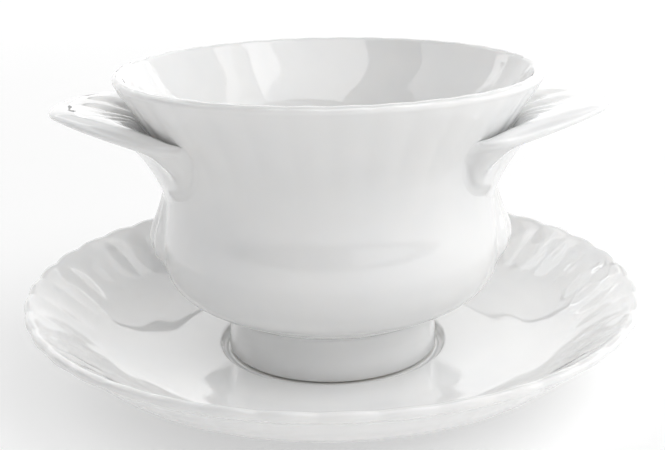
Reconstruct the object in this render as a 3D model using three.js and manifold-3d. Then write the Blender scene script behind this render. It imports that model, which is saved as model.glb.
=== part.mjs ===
// Two-handled soup cup on its saucer, white glazed porcelain.
// Millimetres, +Z up. Origin: centre of the saucer's foot ring, on the table.
// +X runs from the cup's axis through one handle.
import * as THREE from 'three';
import { mergeVertices } from 'three/addons/utils/BufferGeometryUtils.js';
import Module from 'manifold-3d';

// ---------- driving dimensions ----------
const SAUCER_R = 85.5;        // largest radius of the scalloped rim
const SAUCER_H = 24.2;        // rim crest above the table
const SAUCER_FLUTES = 40;     // lobes around the saucer, 9 degrees each
const SAUCER_SCALLOP = 0.4;   // lobe to valley at the rim, outwards
const SAUCER_WAVE = 0.45;     // lobe to valley on top of the rim, upwards
const SEAT_R = 32.1;          // recess that the cup's foot stands in
const SEAT_Z = 4.2;           // floor of that recess
const REST_GAP = 0.3;         // running gap between touching pieces
const CUP_Z = SEAT_Z + REST_GAP;   // underside of the cup's foot
const CUP_H = 79.9;           // foot to rim
const CUP_RIM_R = 57.6;
const CUP_FLUTES = 36;        // soft vertical flutes on the neck, 10 degrees each
const CUP_FLUTE_DEPTH = 0.4;
const FOOT_H = 12.0;          // pedestal foot
const FOOT_R = 29.9;
const WALL = 2.9;             // bowl wall
const HANDLE_REACH = 76.0;    // handle tip from the cup's axis
const HANDLE_SPAN = 46;       // half angle of the handle's root, degrees
const SHELL_APEX_X = 42;      // where the handle's fan of flutes meets
const SHELL_PITCH = 24;       // degrees between the fan's valleys

const PORCELAIN = { color: 0xf4f4f2, roughness: 0.12, metalness: 0 };
const D = Math.PI / 180;

// ---------- small helpers ----------
function table(points) {           // monotone cubic through [x, y] pairs
  const p = [...points].sort((a, b) => a[0] - b[0]);
  const n = p.length, h = [], d = [], m = new Array(n).fill(0);
  for (let i = 0; i < n - 1; i++) {
    h.push(p[i + 1][0] - p[i][0]);
    d.push((p[i + 1][1] - p[i][1]) / h[i]);
  }
  m[0] = d[0];
  m[n - 1] = d[n - 2];
  for (let i = 1; i < n - 1; i++) {
    if (d[i - 1] * d[i] <= 0) continue;
    const a = 2 * h[i] + h[i - 1], b = h[i] + 2 * h[i - 1];
    m[i] = (a + b) / (a / d[i - 1] + b / d[i]);
  }
  return (x) => {
    if (x <= p[0][0]) return p[0][1];
    if (x >= p[n - 1][0]) return p[n - 1][1];
    let i = 0;
    while (x > p[i + 1][0]) i++;
    const t = (x - p[i][0]) / h[i], t2 = t * t, t3 = t2 * t;
    return (2 * t3 - 3 * t2 + 1) * p[i][1] + (t3 - 2 * t2 + t) * h[i] * m[i]
      + (-2 * t3 + 3 * t2) * p[i + 1][1] + (t3 - t2) * h[i] * m[i + 1];
  };
}
const lobe = (angle, count, phase) =>       // 0 in a valley, 1 on a lobe's crest
  Math.abs(Math.sin((angle - phase) * count / 2));

function makeGeometry(vertices, faces) {
  const g = new THREE.BufferGeometry();
  g.setAttribute('position', new THREE.Float32BufferAttribute(vertices.flat(), 3));
  g.setIndex(faces.flat());
  g.computeVertexNormals();
  return g;
}

// A turned piece with flutes. Each profile entry is [r, z, dr, dz]: dr and dz
// are how far a lobe's crest stands off the valley there. An open profile
// starts and ends on the axis; a closed one joins its last point to its first.
function turned(profile, angles, lobeAt, closed = false) {
  const v = [], f = [], rings = [], n = angles.length;
  for (const [r, z, dr = 0, dz = 0] of profile) {
    if (r === 0) { rings.push([v.length]); v.push([0, 0, z]); continue; }
    const ring = [];
    for (const a of angles) {
      const k = lobeAt(a), rr = r + dr * k;
      ring.push(v.length);
      v.push([rr * Math.cos(a), rr * Math.sin(a), z + dz * k]);
    }
    rings.push(ring);
  }
  const last = closed ? rings.length : rings.length - 1;
  for (let i = 0; i < last; i++) {
    const A = rings[i], B = rings[(i + 1) % rings.length];
    for (let j = 0; j < n; j++) {
      const k = (j + 1) % n;
      if (A.length === 1) f.push([A[0], B[k], B[j]]);
      else if (B.length === 1) f.push([A[j], A[k], B[0]]);
      else f.push([A[j], B[k], B[j]], [A[j], A[k], B[k]]);
    }
  }
  return makeGeometry(v, f);
}

// ---------- saucer ----------
const saucerPhase = 6.5 * D;
const saucerAngles = [];
for (let i = 0; i < SAUCER_FLUTES; i++) {
  for (const s of [0, 1 / 3, 2 / 3]) saucerAngles.push(saucerPhase + (i + s) * 2 * Math.PI / SAUCER_FLUTES);
}
const S = SAUCER_SCALLOP, RV = SAUCER_R - S;      // RV: rim radius in a valley
const saucerProfile = [
  [0, 1.7], [42.6, 1.7], [43.4, 0], [46.4, 0], [47.4, 1.8],          // foot ring
  [54, 2.9], [61, 4.7], [67, 7.0], [72, 10.3, 0.1], [76.3, 14.4, 0.2, -0.1],
  [80.2, 18.9, 0.3, -0.1], [RV - 0.9, 22.0, 0.9 * S, 0], [RV, 23.0, S, 0.2],
  [RV - 0.8, SAUCER_H - SAUCER_WAVE, S, SAUCER_WAVE], [RV - 2.6, 23.2, 1.1 * S, 0.15],
  [78.0, 20.1, 0.55, -0.35], [74.0, 16.1, 0.4, -0.35], [69.5, 12.3, 0.25, -0.25],
  [64.5, 9.6, 0.1, -0.1], [57, 7.3], [46, 5.9], [33.0, 5.4], [SEAT_R, SEAT_Z], [0, SEAT_Z],
];
const saucer = turned(saucerProfile, saucerAngles, (a) => lobe(a, SAUCER_FLUTES, saucerPhase));

// ---------- cup bowl ----------
// outer radius of the bowl against height above the cup's foot
const bowlR = table([[12.3, 29.6], [13.4, 31.6], [14.8, 34.2], [16.8, 38.2], [19.2, 42.4], [22, 45.3],
  [26, 47.0], [32, 47.4], [38, 46.6], [44, 45.3], [50, 44.8], [56, 45.7], [61, 47.3],
  [66, 49.9], [71, 53.2], [76, 56.3], [79.9, 57.6]]);
const fluteDepth = table([[48, 0], [56, 0.35], [64, 0.9], [74, 1], [78, 0.6], [79.9, 0.3]]);
const cupAngles = [];
for (let i = 0; i < CUP_FLUTES * 2; i++) cupAngles.push(i * Math.PI / CUP_FLUTES);
const out = (z) => [bowlR(z) - CUP_FLUTE_DEPTH / 2 * fluteDepth(z), z + CUP_Z, CUP_FLUTE_DEPTH * fluteDepth(z)];
const inn = (z, t = WALL) => {      // inner wall: the outer one moved in along its normal
  const e = 0.2, s = (bowlR(z + e) - bowlR(z - e)) / (2 * e), k = Math.hypot(1, s);
  return [bowlR(z) - t / k, z + CUP_Z + t * s / k];
};
const bowlProfile = [
  [0, 12.3 + CUP_Z], [29.6, 12.3 + CUP_Z],
  ...[14, 17.5, 22, 27, 33, 40, 47, 53, 59, 66, 73].map(out),
  [CUP_RIM_R, 78.7 + CUP_Z], [CUP_RIM_R - 1.3, CUP_H + CUP_Z], [CUP_RIM_R - 2.7, 78.9 + CUP_Z],
  ...[72.5, 65, 58, 50, 42, 34, 27].map((z) => inn(z)),
  [40.4, 21.6 + CUP_Z], [35.5, 18.3 + CUP_Z], [28, 16.6 + CUP_Z], [15, 16.0 + CUP_Z], [0, 15.9 + CUP_Z],
];
const bowl = turned(bowlProfile, cupAngles, (a) => lobe(a, CUP_FLUTES, 0));

// ---------- cup foot: a hollow pedestal ring under the bowl ----------
const footAngles = Array.from({ length: 60 }, (_, i) => i * 2 * Math.PI / 60);
const foot = turned([
  [26.4, CUP_Z], [29.3, CUP_Z], [FOOT_R, CUP_Z + 0.7], [29.55, CUP_Z + 5], [29.3, CUP_Z + 9.5], [29.5, CUP_Z + FOOT_H],
  [25.0, CUP_Z + FOOT_H], [25.4, CUP_Z + 5], [25.9, CUP_Z + 0.8],
], footAngles, () => 0, true);

// ---------- handles ----------
// Each handle is a scallop-like shelf: a fluted, dished plate on top, a cove
// under it where the fingers go, and a tail that runs down the belly.
const edgeR = table([[0, HANDLE_REACH], [5, 75.2], [10, 73.0], [15, 69.9], [20, 66.7], [25, 63.5], [30, 60.6],
  [35, 57.9], [38, 56.3], [40, 55.0], [42, 53.0], [44, 50.2], [46, 47.4]]);
const edgeTop = table([[0, 70.2], [10, 70.7], [20, 69.9], [30, 68.6], [35, 68.0], [40, 67.3], [43, 66.7], [46, 66.2]]);
const edgeLow = table([[0, 67.7], [10, 68.0], [20, 67.0], [30, 65.3], [35, 64.5], [40, 63.6], [43, 62.8], [46, 62.4]]);
const crease = table([[0, 45.5], [10, 46.0], [15, 46.8], [21, 48.4], [31, 50.4], [37, 52.4], [40.5, 54.8], [43, 58.8], [44.5, 61.6], [46, 62.0]]);
const rootTop = table([[0, 62.2], [10, 62.6], [20, 63.8], [30, 65.4], [40, 66.2], [46, 66.0]]);
const cove = table([[0, 0], [0.05, 0.1], [0.112, 0.215], [0.16, 0.32], [0.21, 0.43], [0.295, 0.575],
  [0.42, 0.72], [0.583, 0.845], [0.776, 0.95], [1, 1]]);

const wasm = await Module();
wasm.setup();
function solid(g) {
  const c = g.clone();
  c.deleteAttribute('normal');
  c.deleteAttribute('uv');
  const m = mergeVertices(c, 1e-5);
  return new wasm.Manifold(new wasm.Mesh({
    numProp: 3,
    vertProperties: Float32Array.from(m.attributes.position.array),
    triVerts: Uint32Array.from(m.index.array),
  }));
}
function geometryOf(manifold) {
  const m = manifold.getMesh(), g = new THREE.BufferGeometry();
  g.setAttribute('position', new THREE.Float32BufferAttribute(Float32Array.from(m.vertProperties), 3));
  g.setIndex(Array.from(m.triVerts));
  g.computeVertexNormals();
  return g;
}
// a solid swept from closed loops of equal length, capped at both ends
function loft(loops) {
  const v = [], f = [], n = loops[0].length;
  for (const l of loops) v.push(...l);
  for (let i = 0; i < loops.length - 1; i++) {
    for (let j = 0; j < n; j++) {
      const k = (j + 1) % n, a = i * n + j, b = i * n + k, c = a + n, d = b + n;
      f.push([a, c, d], [a, d, b]);
    }
  }
  for (const [start, flip] of [[0, false], [(loops.length - 1) * n, true]]) {
    const loop = v.slice(start, start + n);
    const centre = [0, 1, 2].map((i) => loop.reduce((s, p) => s + p[i], 0) / n);
    const c = v.length;
    v.push(centre);
    for (let j = 0; j < n; j++) {
      const a = start + j, b = start + (j + 1) % n;
      f.push(flip ? [c, b, a] : [c, a, b]);
    }
  }
  return makeGeometry(v, f);
}

function shellLoops() {
  const loops = [];
  const at = (r, z, a) => [r * Math.cos(a), r * Math.sin(a), z + CUP_Z];
  for (let deg = -HANDLE_SPAN; deg <= HANDLE_SPAN + 1e-9; deg += 3.833333333) {
    const a = deg * D, q = Math.abs(deg), loop = [];
    const re = edgeR(q), zt = edgeTop(q), zb = edgeLow(q), zc = crease(q), zr = rootTop(q);
    const rc = bowlR(zc), rr = bowlR(zr);
    const add = (r, z) => loop.push(at(r, z, a));
    add(Math.min(rc, re) - 2.2, zc - 0.6);
    for (const u of [0, 0.08, 0.2, 0.36, 0.6, 0.85]) add(rc + (re - 1.2 - rc) * u, zc + (zb - zc) * cove(u));
    add(re - 1.2, zb);
    add(re - 0.2, zb + 0.28 * (zt - zb));
    add(re - 0.1, zb + 0.66 * (zt - zb));
    for (const u of [1, 0.85, 0.68, 0.5, 0.33, 0.17, 0]) {
      const r = rr + (re - 1.3 - rr) * u;
      const fan = Math.atan2(r * Math.sin(a), r * Math.cos(a) - SHELL_APEX_X) / D;
      const rib = Math.abs(Math.sin(fan / SHELL_PITCH * Math.PI)) - 0.6;
      const depth = 0.9 * Math.min(1, (1.05 - u) * 2.2) * Math.max(0, Math.min(1, (HANDLE_SPAN - 3 - q) / 6));
      add(r, zr + (zt - zr) * (1 - Math.pow(1 - u, 2.1)) + rib * depth);
    }
    add(Math.min(rr, re) - 2.2, zr + 0.3);
    loops.push(loop);
  }
  return loops;
}
const tailStand = table([[27.6, -0.6], [28.6, 2.2], [29.8, 3.5], [32, 3.8], [35, 3.5], [39, 2.5], [43, 1.9], [47, 1.6], [50, 1.4]]);
const tailWidth = table([[27.6, 5.2], [28.6, 6.6], [30.5, 8.2], [34, 8.8], [39, 8.2], [44, 7.6], [50, 7.2]]);
function tailLoops() {
  const loops = [];
  for (const z of [27.6, 28.6, 30, 33, 38, 44, 50]) {
    const r = bowlR(z), w = tailWidth(z), loop = [];
    const at = (y, x) => loop.push([x, y, z + CUP_Z]);
    for (const s of [-1, -0.8, -0.4, 0, 0.4, 0.8, 1]) {
      const y = s * w, body = Math.sqrt(r * r - y * y);
      at(y, body + tailStand(z) * Math.pow(1 - s * s, 0.6) - (Math.abs(s) === 1 ? 0.5 : 0));
    }
    at(w, r - 4.5);
    at(-w, r - 4.5);
    loops.push(loop);
  }
  return loops.reverse();
}
const cutAngles = Array.from({ length: 90 }, (_, i) => i * 2 * Math.PI / 90);
const clearance = REST_GAP + CUP_FLUTE_DEPTH / 2 + 0.12;
const cutZ = [22, 26, 30, 35, 40, 46, 52, 57, 61, 65, 68.5, 72];
const cutter = solid(turned([
  [0, 22 + CUP_Z], ...cutZ.map((z) => [bowlR(z) + clearance, z + CUP_Z]), [0, 72 + CUP_Z],
], cutAngles, () => 0));
const blank = solid(loft(shellLoops())).add(solid(loft(tailLoops())));
const handleGeometry = geometryOf(blank.subtract(cutter));

// ---------- assembly ----------
const assembly = new THREE.Group();
function piece(name, geometry, parent = assembly) {
  const mesh = new THREE.Mesh(geometry, new THREE.MeshStandardMaterial(PORCELAIN));
  mesh.name = name;
  parent.add(mesh);
  return mesh;
}
piece('saucer', saucer);
const cup = new THREE.Group();
assembly.add(cup);
piece('cup_bowl', bowl, cup);
piece('cup_foot', foot, cup);
piece('handle_right', handleGeometry, cup);
piece('handle_left', handleGeometry.clone(), cup).rotation.z = Math.PI;

export default assembly;
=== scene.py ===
# Two-handled soup cup on its saucer, white glazed porcelain: the visual model.
import math

import bpy
import numpy as np
from mathutils import Matrix, Vector
from mathutils.kdtree import KDTree


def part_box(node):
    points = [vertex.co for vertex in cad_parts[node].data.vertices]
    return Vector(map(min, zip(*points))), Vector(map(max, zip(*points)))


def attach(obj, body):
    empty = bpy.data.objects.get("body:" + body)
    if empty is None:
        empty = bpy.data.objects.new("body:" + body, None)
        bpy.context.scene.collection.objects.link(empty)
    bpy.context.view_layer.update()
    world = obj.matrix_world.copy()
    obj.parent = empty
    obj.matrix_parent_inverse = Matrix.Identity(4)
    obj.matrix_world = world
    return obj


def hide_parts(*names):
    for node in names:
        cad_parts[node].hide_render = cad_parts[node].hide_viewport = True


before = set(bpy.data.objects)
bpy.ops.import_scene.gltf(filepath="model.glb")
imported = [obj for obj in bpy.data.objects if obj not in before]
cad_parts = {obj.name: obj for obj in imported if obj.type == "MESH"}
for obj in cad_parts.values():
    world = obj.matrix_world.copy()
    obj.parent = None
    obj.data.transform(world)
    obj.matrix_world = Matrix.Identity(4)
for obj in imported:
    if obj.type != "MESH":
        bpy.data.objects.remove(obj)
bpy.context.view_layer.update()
MM = 0.001

# ---------- places and sizes, from the CAD boxes (in mm here, metres in the meshes) ----------
CUP_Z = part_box("cup_foot")[0].z / MM                  # underside of the cup's foot
CUP_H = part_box("cup_bowl")[1].z / MM - CUP_Z          # foot to rim
RIM_R = (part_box("cup_bowl")[1].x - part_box("cup_bowl")[0].x) / 2 / MM
SAUCER_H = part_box("saucer")[1].z / MM
SAUCER_R = 85.5
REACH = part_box("handle_right")[1].x / MM + 0.1        # handle tip from the axis
SEAT_Z = CUP_Z - 0.3
SEAT_R = 32.1
FOOT_H = 12.0
WALL = 2.9
SAUCER_FLUTES, CUP_FLUTES = 40, 36
SAUCER_PHASE = math.radians(6.5)


# ---------- curves ----------
def table(points):
    """Monotone cubic through (x, y) pairs, for arrays."""
    p = np.array(sorted(points), float)
    x, y = p[:, 0], p[:, 1]
    h = np.diff(x)
    d = np.diff(y) / h
    m = np.zeros(len(x))
    m[0], m[-1] = d[0], d[-1]
    for i in range(1, len(x) - 1):
        if d[i - 1] * d[i] > 0:
            a, b = 2 * h[i] + h[i - 1], h[i] + 2 * h[i - 1]
            m[i] = (a + b) / (a / d[i - 1] + b / d[i])

    def f(q):
        q = np.clip(np.asarray(q, float), x[0], x[-1])
        i = np.clip(np.searchsorted(x, q, side="right") - 1, 0, len(h) - 1)
        t = (q - x[i]) / h[i]
        t2, t3 = t * t, t * t * t
        return ((2 * t3 - 3 * t2 + 1) * y[i] + (t3 - 2 * t2 + t) * h[i] * m[i]
                + (-2 * t3 + 3 * t2) * y[i + 1] + (t3 - t2) * h[i] * m[i + 1])
    return f


def gauss(values, sigma, step):
    """Gaussian smoothing of evenly spaced rows; the ends keep their place and slope."""
    k = max(1, int(math.ceil(4 * sigma / step)))
    w = np.exp(-0.5 * (np.arange(-k, k + 1) * step / sigma) ** 2)
    w /= w.sum()
    v = np.asarray(values, float)
    head = 2 * v[0] - v[k:0:-1]
    tail = 2 * v[-1] - v[-2:-k - 2:-1]
    e = np.concatenate([head, v, tail])
    if v.ndim == 1:
        return np.convolve(e, w, "valid")
    return np.stack([np.convolve(e[:, c], w, "valid") for c in range(v.shape[1])], 1)


def smooth_table(points, sigma, step=0.1):
    """A table smoothed along x, so its curvature has no jumps."""
    f = table(points)
    x0, x1 = min(p[0] for p in points), max(p[0] for p in points)
    n = int(round((x1 - x0) / step)) + 1
    xs = np.linspace(x0, x1, n)
    ys = gauss(f(xs), sigma, xs[1] - xs[0])
    return lambda q: np.interp(q, xs, ys)


def walk(points, step):
    """Even steps along a polyline."""
    p = np.asarray(points, float)
    s = np.concatenate([[0], np.cumsum(np.linalg.norm(np.diff(p[:, :2], axis=0), axis=1))])
    n = max(2, int(round(s[-1] / step)) + 1)
    q = np.linspace(0, s[-1], n)
    return np.stack([np.interp(q, s, p[:, c]) for c in range(p.shape[1])], 1)


def rounded(points, sigma, step=0.05):
    """A polyline with its corners rounded over about sigma mm."""
    return gauss(walk(points, step), sigma, step)


def smoothstep(a, b, x):
    t = np.clip((np.asarray(x, float) - a) / (b - a), 0, 1)
    return t * t * (3 - 2 * t)


def lobe(angle, count, phase, soft):
    """0 in a valley, 1 on a lobe's crest: convex lobes with narrow soft valleys."""
    s = np.sin((angle - phase) * count / 2) ** 2
    return (np.sqrt(s + soft * soft) - soft) / (math.sqrt(1 + soft * soft) - soft)


# ---------- meshes ----------
def make_object(name, verts, faces, material, body, node, smooth=True):
    """verts in mm (N x 3); faces as an array of quads with -1 for a triangle's last corner."""
    faces = np.asarray(faces, np.int64)
    size = np.where(faces[:, 3] < 0, 3, 4)
    loops = faces[faces >= 0]
    mesh = bpy.data.meshes.new(name)
    mesh.vertices.add(len(verts))
    mesh.vertices.foreach_set("co", (np.asarray(verts, float) * MM).ravel())
    mesh.loops.add(len(loops))
    mesh.loops.foreach_set("vertex_index", loops)
    mesh.polygons.add(len(faces))
    start = np.concatenate([[0], np.cumsum(size)[:-1]])
    mesh.polygons.foreach_set("loop_start", start)
    mesh.polygons.foreach_set("loop_total", size)
    mesh.update(calc_edges=True)
    mesh.validate()
    if smooth:
        mesh.polygons.foreach_set("use_smooth", np.ones(len(faces), bool))
    ob = bpy.data.objects.new(name, mesh)
    bpy.context.scene.collection.objects.link(ob)
    mesh.materials.append(material)
    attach(ob, body)
    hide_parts(node)
    return ob


def turned(name, rings, material, body, node, closed=False):
    """rings: array (R, N, 3) of points round the axis, counter-clockwise from above, wound so faces point out.
    A ring on the axis is collapsed to one point."""
    R, N = rings.shape[:2]
    verts, index = [], []
    count = 0
    for i in range(R):
        if not closed and i in (0, R - 1) and np.abs(rings[i][:, :2]).max() < 1e-6:
            verts.append(rings[i][:1])
            index.append(np.full(N, count))
            count += 1
        else:
            verts.append(rings[i])
            index.append(np.arange(count, count + N))
            count += N
    verts = np.concatenate(verts)
    faces = []
    for i in range(R if closed else R - 1):
        a, b = index[i], index[(i + 1) % R]
        a1, b1 = np.roll(a, -1), np.roll(b, -1)
        if a[0] == a[1]:
            faces.append(np.stack([a, b1, b, np.full(N, -1)], 1))
        elif b[0] == b[1]:
            faces.append(np.stack([a, a1, b, np.full(N, -1)], 1))
        else:
            faces.append(np.stack([a, a1, b1, b], 1))
    return make_object(name, verts, np.concatenate(faces), material, body, node)


def around(profile, angles, radial, vertical=None):
    """(R, N, 3) rings from profile rows (r, z) with radial and vertical offsets (R x N)."""
    r = profile[:, 0][:, None] + radial
    z = profile[:, 1][:, None] + (0 if vertical is None else vertical) + 0 * radial
    return np.stack([r * np.cos(angles), r * np.sin(angles), z], -1)


# ---------- materials ----------
def glaze(name, bare=None, seed=0.0):
    """Glossy white porcelain glaze. bare = (z_top, r_in, r_out) in metres: a ring left unglazed, ground flat."""
    m = bpy.data.materials.new(name)
    m.use_nodes = True
    nt = m.node_tree
    nt.nodes.clear()
    N = nt.nodes.new
    L = nt.links.new
    out = N("ShaderNodeOutputMaterial")
    p = N("ShaderNodeBsdfPrincipled")
    L(p.outputs["BSDF"], out.inputs["Surface"])
    p.inputs["IOR"].default_value = 1.52
    p.inputs["Metallic"].default_value = 0.0
    p.inputs["Subsurface Weight"].default_value = 0.12
    p.inputs["Subsurface Radius"].default_value = (1.0, 0.9, 0.8)
    p.inputs["Subsurface Scale"].default_value = 0.0015
    p.inputs["Coat Weight"].default_value = 0.45
    p.inputs["Coat Roughness"].default_value = 0.02
    p.inputs["Coat IOR"].default_value = 1.5
    tc = N("ShaderNodeTexCoord")
    shift = N("ShaderNodeMapping")
    shift.inputs["Location"].default_value = (seed, seed * 0.7, seed * 1.3)
    L(tc.outputs["Object"], shift.inputs["Vector"])

    def noise(scale, detail=2.0, rough=0.5):
        n = N("ShaderNodeTexNoise")
        n.inputs["Scale"].default_value = scale
        n.inputs["Detail"].default_value = detail
        n.inputs["Roughness"].default_value = rough
        L(shift.outputs["Vector"], n.inputs["Vector"])
        return n.outputs["Fac"]

    def remap(value, a, b, c, d, smooth=False):
        n = N("ShaderNodeMapRange")
        n.interpolation_type = "SMOOTHSTEP" if smooth else "LINEAR"
        for k, v in zip(("From Min", "From Max", "To Min", "To Max"), (a, b, c, d)):
            n.inputs[k].default_value = v
        L(value, n.inputs["Value"])
        return n.outputs["Result"]

    def math_node(op, a, b=None):
        n = N("ShaderNodeMath")
        n.operation = op
        for i, v in enumerate((a, b)):
            if v is None:
                continue
            if isinstance(v, (int, float)):
                n.inputs[i].default_value = v
            else:
                L(v, n.inputs[i])
        return n.outputs[0]

    def ramp(value, stops):
        n = N("ShaderNodeValToRGB")
        e = n.color_ramp.elements
        e[0].position, e[0].color = stops[0][0], (*stops[0][1], 1)
        e[1].position, e[1].color = stops[-1][0], (*stops[-1][1], 1)
        for pos, col in stops[1:-1]:
            k = e.new(pos)
            k.color = (*col, 1)
        L(value, n.inputs["Fac"])
        return n.outputs["Color"]

    # slow drift of the glaze's tone: thicker glaze is a touch cooler, thin glaze a touch warmer
    tone = ramp(noise(38.0, 3.0, 0.55), [(0.30, (0.842, 0.846, 0.848)), (0.52, (0.866, 0.866, 0.862)), (0.74, (0.880, 0.877, 0.868))])
    # tiny iron specks that any porcelain body has, very few and very faint
    spots = N("ShaderNodeTexVoronoi")
    spots.inputs["Scale"].default_value = 150.0
    L(shift.outputs["Vector"], spots.inputs["Vector"])
    pick = N("ShaderNodeTexWhiteNoise")
    L(spots.outputs["Position"], pick.inputs["Vector"])
    rare = math_node("GREATER_THAN", pick.outputs["Value"], 0.985)
    dot = math_node("MULTIPLY", remap(spots.outputs["Distance"], 0.02, 0.05, 1.0, 0.0, True), rare)
    speck = N("ShaderNodeMix")
    speck.data_type = "RGBA"
    L(math_node("MULTIPLY", dot, 0.22), speck.inputs["Factor"])
    L(tone, speck.inputs["A"])
    speck.inputs["B"].default_value = (0.46, 0.40, 0.33, 1)
    colour = speck.outputs["Result"]
    # the gloss isn't even: fired glaze has slightly softer patches
    rough = remap(noise(70.0, 4.0, 0.6), 0.3, 0.72, 0.022, 0.058)
    # glaze lies in a very shallow waviness with a fine orange peel
    wave = noise(85.0, 1.5, 0.4)
    peel = noise(900.0, 2.0, 0.5)
    b1 = N("ShaderNodeBump")
    b1.inputs["Strength"].default_value = 0.25
    b1.inputs["Distance"].default_value = 0.00012
    L(wave, b1.inputs["Height"])
    b2 = N("ShaderNodeBump")
    b2.inputs["Strength"].default_value = 0.12
    b2.inputs["Distance"].default_value = 0.00001
    L(peel, b2.inputs["Height"])
    L(b1.outputs["Normal"], b2.inputs["Normal"])
    normal = b2.outputs["Normal"]
    if bare:
        z_top, r_in, r_out = bare
        sep = N("ShaderNodeSeparateXYZ")
        L(tc.outputs["Object"], sep.inputs["Vector"])
        x2 = math_node("MULTIPLY", sep.outputs["X"], sep.outputs["X"])
        y2 = math_node("MULTIPLY", sep.outputs["Y"], sep.outputs["Y"])
        rad = math_node("SQRT", math_node("ADD", x2, y2))
        edge = math_node("MULTIPLY", math_node("SUBTRACT", noise(420.0, 3.0, 0.6), 0.5), 0.0005)
        z = math_node("ADD", sep.outputs["Z"], edge)
        low = remap(z, z_top, z_top + 0.00012, 1.0, 0.0, True)
        ring = math_node("MULTIPLY", remap(rad, r_in - 0.0002, r_in, 0.0, 1.0, True), remap(rad, r_out, r_out + 0.0002, 1.0, 0.0, True))
        mask = math_node("MULTIPLY", low, ring)
        grain = noise(2600.0, 4.0, 0.7)
        scuff = noise(300.0, 5.0, 0.65)
        biscuit = ramp(scuff, [(0.32, (0.60, 0.56, 0.50)), (0.5, (0.74, 0.71, 0.65)), (0.7, (0.80, 0.77, 0.72))])
        mix = N("ShaderNodeMix")
        mix.data_type = "RGBA"
        L(mask, mix.inputs["Factor"])
        L(colour, mix.inputs["A"])
        L(biscuit, mix.inputs["B"])
        colour = mix.outputs["Result"]
        rmix = N("ShaderNodeMix")
        rmix.data_type = "FLOAT"
        L(mask, rmix.inputs["Factor"])
        L(rough, rmix.inputs["A"])
        L(remap(scuff, 0.3, 0.7, 0.55, 0.8), rmix.inputs["B"])
        rough = rmix.outputs["Result"]
        b3 = N("ShaderNodeBump")
        b3.inputs["Distance"].default_value = 0.00006
        L(math_node("MULTIPLY", mask, 0.6), b3.inputs["Strength"])
        L(grain, b3.inputs["Height"])
        L(normal, b3.inputs["Normal"])
        normal = b3.outputs["Normal"]
    L(colour, p.inputs["Base Color"])
    L(rough, p.inputs["Roughness"])
    L(normal, p.inputs["Normal"])
    return m


# ---------- saucer ----------
def build_saucer():
    n = SAUCER_FLUTES * 20
    angles = SAUCER_PHASE + np.arange(n) * 2 * math.pi / n
    H = SAUCER_H
    rim = SAUCER_R - 0.44                      # rim radius in a valley
    under = rounded([(47.6, 1.7), (54, 2.9), (61, 4.7), (67, 7.0), (72, 10.3), (76.3, 14.4), (80.2, 18.9), (rim - 1.15, H - 2.93)], 1.2)
    top = rounded([(rim - 2.08, H - 0.75), (rim - 3.1, H - 1.68), (78.0, 19.9), (74.0, 16.1), (69.5, 12.3), (64.5, 9.6), (57, 7.3), (46, 5.9), (33.2, 5.45)], 1.8)
    t = np.linspace(-1.45, 2.3, 30)                  # the lip is a small roll, undercut a little
    lip = np.stack([rim - 1.25 + 1.25 * np.cos(t), H - 0.32 - 1.25 + 1.25 * np.sin(t)], 1)
    # the seat: a step down from the well, then a narrow channel round the cup's foot
    seat = rounded([(33.2, 5.45), (32.7, 5.42), (32.35, 5.1), (SEAT_R - 0.1, 4.2), (SEAT_R - 0.5, 3.45), (31.05, 3.25), (30.6, 3.5), (30.35, 4.0), (30.1, SEAT_Z), (29.4, SEAT_Z)], 0.14)
    foot = rounded([(41.6, 1.7), (42.6, 1.62), (43.15, 0.5), (43.55, 0.0), (46.25, 0.0), (46.7, 0.5), (47.2, 1.6), (47.6, 1.7)], 0.18)
    foot[:, 1] = np.maximum(foot[:, 1], 0.0)
    lip_walk = walk(lip, 0.16)
    parts = [walk([(0, 1.7), (41.6, 1.7)], 1.6), walk(foot, 0.18), walk(under, 0.35), lip_walk, walk(top, 0.35),
             walk(seat, 0.12), walk([(29.4, SEAT_Z), (0, SEAT_Z)], 1.6)]
    prof = np.concatenate([parts[0]] + [q[1:] for q in parts[1:]])
    # the lip runs into the wall without a corner; under the lip a small fillet is left
    edge = len(parts[0]) + len(parts[1]) + len(parts[2]) - 3
    for mid, reach, times in ((edge, 3, 3), (edge + len(lip_walk) - 1, 9, 30)):
        a, b = mid - reach, mid + reach + 1
        for _ in range(times):
            prof[a:b] += 0.5 * ((prof[a - 1:b - 1] + prof[a + 1:b + 1]) / 2 - prof[a:b])
    r, z = prof[:, 0], prof[:, 1]
    # how far a lobe stands out from the valley, outwards and upwards: a light scallop round the rim,
    # channels down the wall that die out in the well, a nearly smooth underside
    k = len(parts[0]) + len(parts[1]) + len(parts[2]) - 3
    lip_a, lip_b = k, k + len(lip_walk) - 1
    out = table([(60, 0), (65, 0.0), (69.5, 0.06), (74, 0.15), (78, 0.27), (82, 0.36), (83.4, 0.4), (90, 0.4)])(r)
    rise = table([(60, 0), (65, 0.0), (69.5, -0.09), (74, -0.16), (78, -0.17), (80.5, -0.02), (83.3, 0.4), (90, 0.45)])(r)
    low = np.arange(len(r)) < lip_a
    out = np.where(low, table([(66, 0), (76, 0.14), (80, 0.26), (84, 0.36), (90, 0.4)])(r), out)
    rise = np.where(low, 0.0, rise)
    on_lip = (np.arange(len(r)) >= lip_a) & (np.arange(len(r)) <= lip_b)
    out = np.where(on_lip, 0.4, out)
    rise = np.where(on_lip, 0.42 * smoothstep(H - 2.6, H - 0.45, z), rise)
    out, rise = gauss(out, 0.35, 0.3), gauss(rise, 0.35, 0.3)
    f = lobe(angles, SAUCER_FLUTES, SAUCER_PHASE, 0.13)[None, :]
    radial, down = out[:, None] * f, rise[:, None] * f
    return turned("saucer_porcelain", around(prof, angles, radial, down),
                  glaze("saucer_glaze", (0.00035, 0.0426, 0.0472), 1.7), "saucer_body", "saucer")


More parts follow.
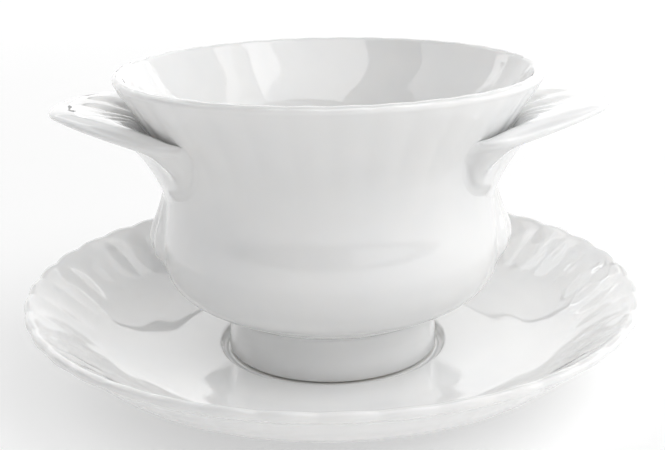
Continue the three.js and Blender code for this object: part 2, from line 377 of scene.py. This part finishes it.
# ---------- bowl ----------
bowl_points = [(12.3, 29.6), (13.4, 31.6), (14.8, 34.2), (16.8, 38.2), (19.2, 42.4), (22, 45.3), (26, 47.0), (32, 47.4),
               (38, 46.6), (44, 45.3), (50, 44.8), (56, 45.7), (61, 47.3), (66, 49.9), (71, 53.2), (76, 56.45), (78.13, 57.48), (80, 58.3)]
_wall = rounded([(r, z) for z, r in bowl_points], 2.2)      # (r, z) curve, smoothed along itself
_wall_z, _wall_r = _wall[:, 1], _wall[:, 0]


def bowl_r(z):
    return np.interp(z, _wall_z, _wall_r)


_flute = smooth_table([(47, 0), (56, 0.35), (63, 0.85), (70, 1.0), (76, 0.95), (79.9, 0.55)], 1.2)
CUP_DEPTH = 0.21


def flute(angle, z):
    """Radial offset of the fluted neck from the smooth bowl."""
    return CUP_DEPTH * _flute(z) * (lobe(angle, CUP_FLUTES, 0.0, 0.35) - 0.5)


def build_bowl():
    n = CUP_FLUTES * 20
    angles = np.arange(n) * 2 * math.pi / n
    # lip: a half ellipse that leaves the outer wall and meets the inner one without a corner
    ea, eb = 1.5, 1.3
    cx, cz = RIM_R - ea, CUP_H - eb
    slope = 0.47
    t = np.linspace(-math.atan(slope * eb / ea), math.pi - math.atan(slope * eb / ea), 41)
    lip = np.stack([cx + ea * np.cos(t), cz + eb * np.sin(t)], 1)
    outer = _wall[(_wall_z > 12.9) & (_wall_z < lip[0, 1] - 0.5)]
    under = rounded([(24, 12.3), (29.4, 12.35), tuple(outer[0]), tuple(outer[12])], 0.5)
    tang = np.gradient(_wall, axis=0)
    tang /= np.linalg.norm(tang, axis=1)[:, None]
    inner = _wall + WALL * np.stack([-tang[:, 1], tang[:, 0]], 1)
    inner = inner[(inner[:, 1] > 24) & (inner[:, 1] < lip[-1, 1] - 0.7)][::-1]
    floor = [(40.4, 21.6), (35.5, 18.3), (28, 16.6), (15, 16.0), (0, 15.9)]
    inside = rounded(np.concatenate([inner, floor]), 1.8)
    line = np.concatenate([walk(outer, 0.6), lip, walk(inside, 0.8)])
    line = gauss(walk(line, 0.05), 0.3, 0.05)
    line[:, 1] *= CUP_H / line[:, 1].max() if abs(line[:, 1].max() - CUP_H) < 0.4 else 1
    line[:, 0] = np.minimum(line[:, 0], RIM_R)
    top_i = int(np.argmax(line[:, 1]))
    dense = np.concatenate([walk(line[:top_i - 90], 0.62)[:-1], walk(line[top_i - 90:top_i + 90], 0.2)[:-1], walk(line[top_i + 90:], 0.9)])
    prof = np.concatenate([walk([(0, 12.3), (24, 12.3)], 2.0)[:-1], walk(under, 0.4)[:-1], dense])
    prof[-1, 0] = 0
    crest = int(np.argmax(prof[:, 1]))
    z = prof[:, 1]
    side = np.where(np.arange(len(prof)) <= crest, 1.0, 0.14)
    w = _flute(z) * side
    w[(prof[:, 0] < 40)] = 0
    f = (lobe(angles, CUP_FLUTES, 0.0, 0.35) - 0.5)[None, :]
    radial = CUP_DEPTH * w[:, None] * f
    over = prof[:, 0][:, None] + radial
    radial = np.minimum(over, RIM_R) - prof[:, 0][:, None]
    dip = -0.13 * smoothstep(CUP_H - 3.2, CUP_H - 0.6, z)[:, None] * (0.5 - f)     # the rim's top waves with the flutes
    prof = prof + [0, CUP_Z]
    return turned("cup_bowl_porcelain", around(prof, angles, radial, dip), glaze("bowl_glaze", None, 4.1), "cup_body", "cup_bowl")


# ---------- foot ----------
def build_foot():
    angles = np.arange(480) * 2 * math.pi / 480
    # fillet between the foot's wall and the belly: a circle touching both
    rho, wall_r = 1.9, 29.42
    belly = _wall[(_wall_z < 22)]
    lo_z, hi_z = 5.0, 14.0
    for _ in range(40):
        zc = (lo_z + hi_z) / 2
        gap = np.hypot(belly[:, 0] - wall_r - rho, belly[:, 1] - zc).min()
        lo_z, hi_z = (zc, hi_z) if gap > rho else (lo_z, zc)
    c = np.array([wall_r + rho, zc])
    j = int(np.argmin(np.hypot(belly[:, 0] - c[0], belly[:, 1] - c[1])))
    touch = math.atan2(belly[j, 1] - c[1], belly[j, 0] - c[0])
    t = np.linspace(math.pi, touch, 40)
    arc = c + rho * np.stack([np.cos(t), np.sin(t)], 1)
    tang = np.gradient(belly, axis=0)
    tang /= np.linalg.norm(tang, axis=1)[:, None]
    inward = np.stack([-tang[:, 1], tang[:, 0]], 1)
    s_on = np.arange(len(belly)) - j
    on = (s_on >= 0) & (s_on * 0.05 < 1.6)
    skin = belly[on] + inward[on] * (0.16 * smoothstep(0.0, 1.6, s_on[on] * 0.05))[:, None]
    outer = [(29.25, 0.0), (29.75, 0.35), (29.9, 1.0), (29.75, 3.0), (29.55, 5.5), (29.45, 8.0), (wall_r, zc - 0.4)]
    inner = [(32.0, 15.2), (27.0, 13.4), (24.6, 12.9), (24.2, 12.05), (24.75, 11.3), (25.0, 10.3), (25.3, 6.0), (25.8, 1.2), (26.1, 0.4), (26.7, 0.0), (29.25, 0.0)]
    lower = walk(outer, 0.05)
    back = walk(inner, 0.05)
    lower = gauss(np.concatenate([back[-80:-1], lower]), 0.22, 0.05)[79:]
    lower[-1] = outer[-1]
    back = gauss(np.concatenate([back, lower[1:80]]), 0.22, 0.05)[:len(back)]
    line = np.concatenate([lower[:-1], arc, skin[1:], back])
    line[:, 1] = np.maximum(line[:, 1], 0.0)
    prof = walk(line, 0.26)[:-1] + [0, CUP_Z]
    return turned("cup_foot_porcelain", around(prof, angles, np.zeros((len(prof), len(angles)))),
                  glaze("foot_glaze", (CUP_Z * MM + 0.0003, 0.0252, 0.0300), 4.1), "cup_body", "cup_foot", closed=True)


# ---------- handles ----------
S = 1.0
edge_r = smooth_table([(0, REACH), (5, 75.3), (10, 73.1), (15, 70.0), (20, 66.8), (25, 63.6), (30, 60.7), (35, 58.0), (38, 56.4), (40, 55.0), (42, 53.0), (44, 50.2), (46, 47.4), (52, 44)], 0.9)
edge_top = smooth_table([(-10, 70.7), (0, 70.3), (10, 70.7), (20, 69.9), (30, 68.5), (35, 67.8), (40, 66.9), (43, 66.2), (46, 65.7), (52, 65.5)], 2.0)
edge_low = smooth_table([(-10, 68.0), (0, 67.7), (10, 68.0), (20, 67.0), (30, 65.3), (35, 64.5), (40, 63.6), (43, 62.8), (46, 62.4), (52, 62)], 2.0)
crease = smooth_table([(-10, 46.0), (0, 45.5), (10, 46.0), (15, 46.8), (21, 48.4), (31, 50.4), (37, 52.4), (40.5, 54.8), (43, 58.4), (44.5, 60.8), (46, 61.6), (52, 62)], 1.2)
root_top = smooth_table([(-10, 62.6), (0, 62.2), (10, 62.6), (20, 63.4), (30, 64.5), (40, 65.3), (46, 65.2), (52, 65.0)], 2.0)
cove = smooth_table([(0, 0), (0.022, 0.1), (0.076, 0.215), (0.124, 0.32), (0.176, 0.43), (0.268, 0.575), (0.405, 0.72), (0.577, 0.845), (0.776, 0.95), (1, 1)], 0.02, 0.002)
tail_stand = smooth_table([(20, 0), (27.2, 0), (28.0, 0.9), (28.8, 2.4), (30, 3.4), (32, 3.8), (35, 3.55), (39, 2.6), (43, 1.9), (47, 1.4), (52, 1.1), (56, 0.6), (60, 0)], 0.35)
tail_half = smooth_table([(20, 14.0), (28, 14.8), (31, 15.2), (34, 14.6), (38, 12.9), (42, 11.0), (46, 9.6), (50, 9.0), (60, 9.0)], 1.0)


def tail(angle, z):
    """How far the three-ribbed tail stands off the belly."""
    y = bowl_r(z) * np.sin(angle)
    w = tail_half(z)
    s = y / w
    body = np.clip(1 - s * s, 0, 1) ** 1.25
    rib = np.sqrt(np.cos(s * math.pi * 1.5) ** 2 + 0.02) - 0.6     # three lobes across
    return tail_stand(z) * body * (0.84 + 0.50 * rib)


def meridian(deg):
    """The handle's outline in the half-plane at that angle, from the belly up over the edge to the neck: (r, z, mark, u).
    mark: 0 body below, 1 cove, 2 edge, 3 top, 4 body above."""
    a, q = math.radians(deg), abs(deg)
    re, zt, zb, zc, zr = (float(f(q)) for f in (edge_r, edge_top, edge_low, crease, root_top))
    half, zm = (zt - zb) / 2, (zt + zb) / 2
    rc, rr = float(bowl_r(zc)), float(bowl_r(zr))
    wide = max(half, min(4.2, 0.42 * (re - rr)))       # the top rolls over to the edge along this width
    ex = re - half
    flat = float(smoothstep(28.0, 42.0, q))            # towards the ends the flank runs straight from edge to crease
    phi = math.atan2((0.22 + 0.78 * flat) * (zb - zc), max(ex - rc, 0.8))
    lx, lz = ex + half * math.sin(phi), zm - half * math.cos(phi)
    rows = []
    for z in np.linspace(25.6, zc, 44)[:-1]:
        rows.append((float(bowl_r(z)), z, 0, 0))
    for u in np.linspace(0, 1, 64)[:-1] ** 1.15:
        rows.append((rc + (lx - rc) * u, zc + (lz - zc) * ((1 - flat) * float(cove(u)) + flat * u), 1, u))
    for t in np.linspace(phi - math.pi / 2, 0, 9)[:-1]:
        rows.append((ex + half * math.cos(t), zm + half * math.sin(t), 2, 0))
    for t in np.linspace(0, math.pi / 2, 15)[:-1]:
        rows.append((re - wide + wide * math.cos(t), zm + half * math.sin(t), 2, 0))
    for u in np.linspace(1, 0, 56)[:-1]:
        rows.append((rr + (re - wide - rr) * u, zr + (zt - zr) * (1 - (1 - u) ** 2.1), 3, u))
    for z in np.linspace(zr, zr + 3.4, 11):
        rows.append((float(bowl_r(z)), z, 4, 0))
    return np.array(rows), a


def handle_grid():
    degs = np.linspace(-47.6, 47.6, 219)
    lines = [meridian(d) for d in degs]
    rows = np.stack([l[0] for l in lines])            # (columns, points, 4)
    ang = np.array([l[1] for l in lines])[:, None] + 0 * rows[..., 0]
    r, z, mark, u = (rows[..., k] for k in range(4))
    # settle the plain shape before the body and the ribs are brought in
    for axis in (0, 1):
        for _ in range(10):
            for v in (r, z):
                lap = np.zeros_like(v)
                if axis == 0:
                    lap[1:-1] = (v[2:] + v[:-2]) / 2 - v[1:-1]
                else:
                    lap[:, 1:-1] = (v[:, 2:] + v[:, :-2]) / 2 - v[:, 1:-1]
                v += 0.5 * lap * np.where((mark > 0) & (mark < 4), 1, 0)
    wall = bowl_r(z) + flute(ang, z)
    add = tail(ang, z)
    off = np.where((mark > 0) & (mark < 4), np.maximum(r - wall, 0.0), 0.0)     # 0 on the body
    # the root stands about a millimetre proud of the belly, with a rounded edge along the crease
    first = (mark == 1).argmax(axis=1)
    k = np.arange(len(first))
    line = np.stack([(r * np.cos(ang))[k, first], (r * np.sin(ang))[k, first], z[k, first]], 1)
    tree = KDTree(len(line))
    for i, q in enumerate(line):
        tree.insert(q, i)
    tree.balance()
    base = np.stack([np.maximum(r, wall) * np.cos(ang), np.maximum(r, wall) * np.sin(ang), z], -1)
    d = np.zeros_like(r)
    cov = mark == 1
    d[cov] = [tree.find(q)[2] for q in base[cov]]
    pad = (1.0 + 0.5 * smoothstep(14.0, 26.0, np.abs(np.degrees(ang)))) * (1 - np.exp(-(d / 0.8) ** 1.5)) * (1 - smoothstep(3.0, 9.0, off)) * (1 - smoothstep(42.0, 45.0, np.abs(np.degrees(ang))))
    stand = np.hypot(off, pad)
    low = np.where(mark <= 1, add * (1 - smoothstep(2.0, 9.0, off)), 0)
    stand = np.where(mark <= 1, (stand ** 3 + low ** 3 + 1e-12) ** (1 / 3), off)
    r = wall + stand
    x, y = r * np.cos(ang), r * np.sin(ang)
    P = np.stack([x, y, z], -1)
    # how near each point is to where the handle really stands off the bowl
    stand = np.hypot(P[..., 0], P[..., 1]) - wall
    tree_points = P[stand > 0.12]
    tree = KDTree(len(tree_points))
    for i, q in enumerate(tree_points):
        tree.insert(q, i)
    tree.balance()
    dist = np.array([tree.find(q)[2] for q in P.reshape(-1, 3)]).reshape(stand.shape)
    hold = 1 - smoothstep(0.8, 2.6, dist)
    # round the creases where the handle leaves the body
    near = np.exp(-(np.maximum(stand, 0) / 1.3) ** 2)
    keep = np.ones_like(near)
    keep[:3] = keep[-3:] = 0
    keep[:, :3] = keep[:, -3:] = 0
    near = near * keep
    for _ in range(24):
        lap = np.zeros_like(P)
        lap[1:-1, 1:-1] = (P[2:, 1:-1] + P[:-2, 1:-1] + P[1:-1, 2:] + P[1:-1, :-2]) / 4 - P[1:-1, 1:-1]
        P = P + 0.6 * lap * near[..., None]
    # ribs on the plate: almost parallel lobes with narrow valleys, closing up a little at the root
    du = np.gradient(P, axis=1)
    dv = np.gradient(P, axis=0)
    nrm = np.cross(dv, du)
    nrm /= np.linalg.norm(nrm, axis=-1)[..., None] + 1e-12
    lane = P[..., 1] / (0.64 + 0.36 * smoothstep(50.0, 62.0, P[..., 0]))
    s = np.sin(lane / 8.0 * math.pi) ** 2
    soft = 0.2
    f = (np.sqrt(s + soft * soft) - soft) / (math.sqrt(1 + soft * soft) - soft)
    amount = np.where(mark == 3, smoothstep(0.02, 0.17, u) * (0.08 + 0.92 * (1 - smoothstep(0.30, 1.0, u))), 0) + np.where(mark == 2, 0.08, 0)
    arc = np.cumsum(np.concatenate([np.zeros((P.shape[0], 1)), np.linalg.norm(np.diff(P, axis=1), axis=-1)], 1), 1)
    side = 1 - smoothstep(12.5, 19.0, np.abs(P[..., 1]))
    amount = amount * side
    for _ in range(6):
        amount[:, 1:-1] = (amount[:, 1:-1] * 2 + amount[:, 2:] + amount[:, :-2]) / 4
    P = P + nrm * ((f - 0.72) * 0.6 * amount)[..., None]
    # towards the bowl the crests stay high and end like finger tips
    tip = np.where(mark == 3, smoothstep(0.06, 0.17, u) * (1 - smoothstep(0.17, 0.62, u)), 0) * side
    for _ in range(3):
        tip[:, 1:-1] = (tip[:, 1:-1] * 2 + tip[:, 2:] + tip[:, :-2]) / 4
    P[..., 2] += 1.25 * f * tip
    # away from the handle the sheet sinks just under the bowl's glaze
    rr = np.hypot(P[..., 0], P[..., 1])
    wall = bowl_r(P[..., 2]) + flute(np.arctan2(P[..., 1], P[..., 0]), P[..., 2])
    stand = np.maximum(rr - wall, -0.25)
    stand = stand * hold - 0.06 * (1 - hold) - 0.02
    k = (wall + stand) / rr
    P[..., 0] *= k
    P[..., 1] *= k
    return P


def build_handle(name, node, turn, seed):
    P = handle_grid()
    A, B = P.shape[:2]
    # inner skin, inside the bowl's wall, so the piece is one closed solid
    zz = P[:1, :, 2] + (P[:, -1:, 2] - P[:1, -1:, 2]) * np.linspace(0, 1, B)[None, :] ** 4
    ang = np.arctan2(P[:, :1, 1], P[:, :1, 0]) + 0 * zz
    ri = bowl_r(zz) - 1.1
    Q = np.stack([ri * np.cos(ang), ri * np.sin(ang), zz], -1)
    verts = np.concatenate([P.reshape(-1, 3), Q.reshape(-1, 3)])
    verts[:, 2] += CUP_Z
    c, s = math.cos(turn), math.sin(turn)
    verts[:, :2] = verts[:, :2] @ np.array([[c, s], [-s, c]])
    g = np.arange(A * B).reshape(A, B)
    h = g + A * B
    quads = [np.stack([g[:-1, :-1], g[1:, :-1], g[1:, 1:], g[:-1, 1:]], -1).reshape(-1, 4),
             np.stack([h[:-1, :-1], h[:-1, 1:], h[1:, 1:], h[1:, :-1]], -1).reshape(-1, 4)]
    for a, b in ((g[:, 0], h[:, 0]), (h[:, -1], g[:, -1])):
        quads.append(np.stack([a[:-1], b[:-1], b[1:], a[1:]], -1))
    for a, b in ((h[0], g[0]), (g[-1], h[-1])):
        quads.append(np.stack([a[:-1], b[:-1], b[1:], a[1:]], -1))
    return make_object(name, verts, np.concatenate(quads), glaze(name + "_glaze", None, seed), "cup_body", node)


# ---------- camera ----------
def place_camera():
    f_px, dist, elev, roll, yaw, pitch = 1089.333, 312.4, 0.350768, -0.0182675, -0.00256198, 0.0459985
    C = np.array([0, -dist * math.cos(elev), dist * math.sin(elev)])
    fwd = -C / np.linalg.norm(C)
    right = np.array([1.0, 0, 0])
    up = np.cross(right, fwd)

    def rot(v, k, a):
        return v * math.cos(a) + np.cross(k, v) * math.sin(a) + k * (k @ v) * (1 - math.cos(a))
    fwd, right = rot(fwd, up, yaw), rot(right, up, yaw)
    fwd, up = rot(fwd, right, pitch), rot(up, right, pitch)
    r2 = right * math.cos(roll) + up * math.sin(roll)
    u2 = up * math.cos(roll) - right * math.sin(roll)
    C = C + [-0.3, 0, SAUCER_H]
    cam = bpy.data.cameras.new("camera")
    cam.sensor_width = 36.0
    cam.lens = f_px / 665.0 * 36.0
    cam.clip_start, cam.clip_end = 0.01, 50.0
    ob = bpy.data.objects.new("camera", cam)
    bpy.context.scene.collection.objects.link(ob)
    m = Matrix(((r2[0], u2[0], -fwd[0], C[0] * MM), (r2[1], u2[1], -fwd[1], C[1] * MM), (r2[2], u2[2], -fwd[2], C[2] * MM), (0, 0, 0, 1)))
    ob.matrix_world = m
    bpy.context.scene.camera = ob


# ---------- stage and lights ----------
def stage():
    mesh = bpy.data.meshes.new("floor")
    n = 48
    xs = np.linspace(-4, 4, n)
    gx, gy = np.meshgrid(xs, xs, indexing="ij")
    verts = np.stack([gx.ravel(), gy.ravel(), np.full(n * n, -0.0002)], 1)
    g = np.arange(n * n).reshape(n, n)
    faces = np.stack([g[:-1, :-1], g[1:, :-1], g[1:, 1:], g[:-1, 1:]], -1).reshape(-1, 4)
    mesh.from_pydata(verts.tolist(), [], faces.tolist())
    mesh.update()
    floor = bpy.data.objects.new("floor", mesh)
    bpy.context.scene.collection.objects.link(floor)
    m = bpy.data.materials.new("floor_paper")
    m.use_nodes = True
    p = m.node_tree.nodes["Principled BSDF"]
    p.inputs["Base Color"].default_value = (0.7, 0.7, 0.7, 1)
    p.inputs["Roughness"].default_value = 0.85
    p.inputs["Specular IOR Level"].default_value = 0.2
    p.inputs["Emission Color"].default_value = (1, 1, 1, 1)
    p.inputs["Emission Strength"].default_value = 0.3
    mesh.materials.append(m)


# large soft white panels round the table: (name, azimuth, elevation, width, height, power in W)
PANELS = [
    ("key", 290, 57, 1.6, 1.15, 10.0), ("fill", 318, 18, 2.2, 0.95, 4.1), ("right", 340, 52, 0.75, 1.2, 3.9),
    ("right_low", 15, 12, 1.69, 0.69, 7.1), ("right_mid", 20, 38, 1.5, 0.69, 1.9), ("back_mid", 90, 38, 2.3, 0.69, 4.5), ("left_mid", 162, 38, 1.7, 0.69, 3.9),
    ("back_low_right", 75, 12, 1.69, 0.69, 4.5), ("back_low_left", 135, 12, 1.69, 0.69, 4.0),
]
PANEL_R = 1.5


def light_up():
    world = bpy.data.worlds.new("studio")
    bpy.context.scene.world = world
    world.use_nodes = True
    bg = world.node_tree.nodes["Background"]
    bg.inputs["Color"].default_value = (1, 1, 1, 1)
    bg.inputs["Strength"].default_value = 0.16
    for name, az, el, width, height, power in PANELS:
        a, e = math.radians(az), math.radians(el)
        data = bpy.data.lights.new("panel_" + name, "AREA")
        data.shape = "RECTANGLE"
        data.size, data.size_y = width, height
        data.energy = power
        ob = bpy.data.objects.new(data.name, data)
        bpy.context.scene.collection.objects.link(ob)
        away = Vector((math.cos(e) * math.cos(a), math.cos(e) * math.sin(a), math.sin(e)))
        ob.location = PANEL_R * away + Vector((0, 0, 0.05))
        ob.rotation_euler = (-away).to_track_quat("-Z", "Y").to_euler()


place_camera()
stage()
light_up()
build_saucer()
build_bowl()
build_foot()
build_handle("handle_right_porcelain", "handle_right", 0.0, 4.1)
build_handle("handle_left_porcelain", "handle_left", math.pi, 4.1)

view = bpy.context.scene.view_settings
view.view_transform = "Standard"
view.look = "None"
